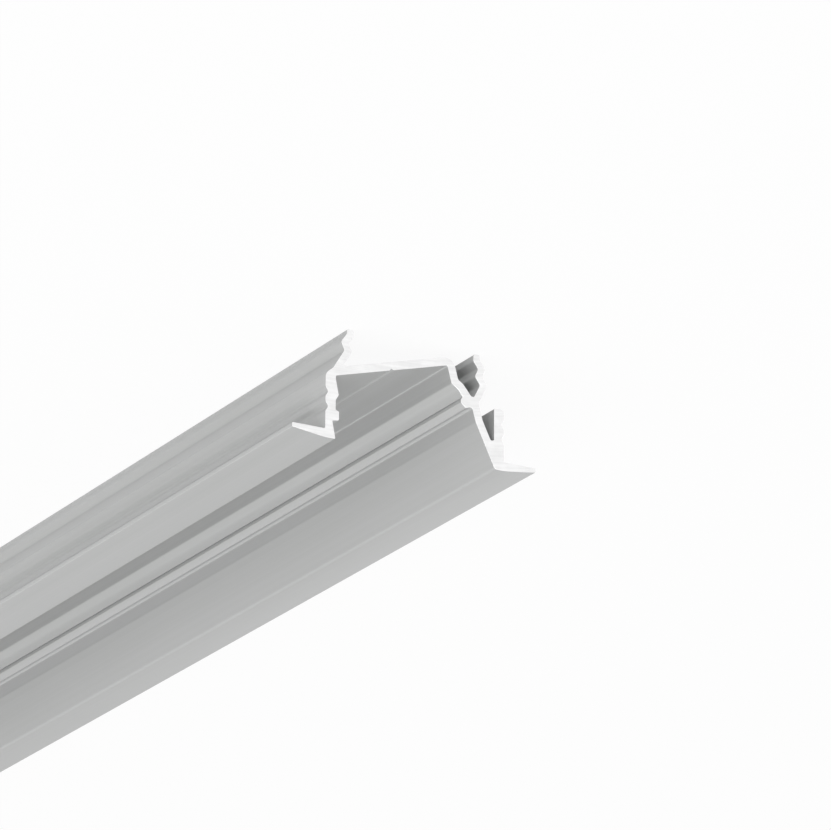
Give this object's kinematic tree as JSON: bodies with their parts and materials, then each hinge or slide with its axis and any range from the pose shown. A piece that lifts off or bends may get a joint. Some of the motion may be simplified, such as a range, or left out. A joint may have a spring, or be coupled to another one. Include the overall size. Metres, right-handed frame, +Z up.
{
  "type": "corner led strip profile",
  "caption": "Flanged recess profile in anodised aluminium with a tilted seat for an LED strip, cover catches and toothed clip arms.",
  "frame": {"origin": "on the floor, under the middle of the bar's box", "axes": "+X along the bar, +Y from the near side wall to the lip and rib side, +Z up out of the mouth; the bar lies on its clip arms with the flange faces up"},
  "size_m": [1, 0.03, 0.0128],
  "materials": {
    "anodised_aluminium": "satin silver anodised, sawn ends bare"
  },
  "bodies": {
    "root": {"led_profile": "anodised_aluminium"}
  },
  "joints": []
}
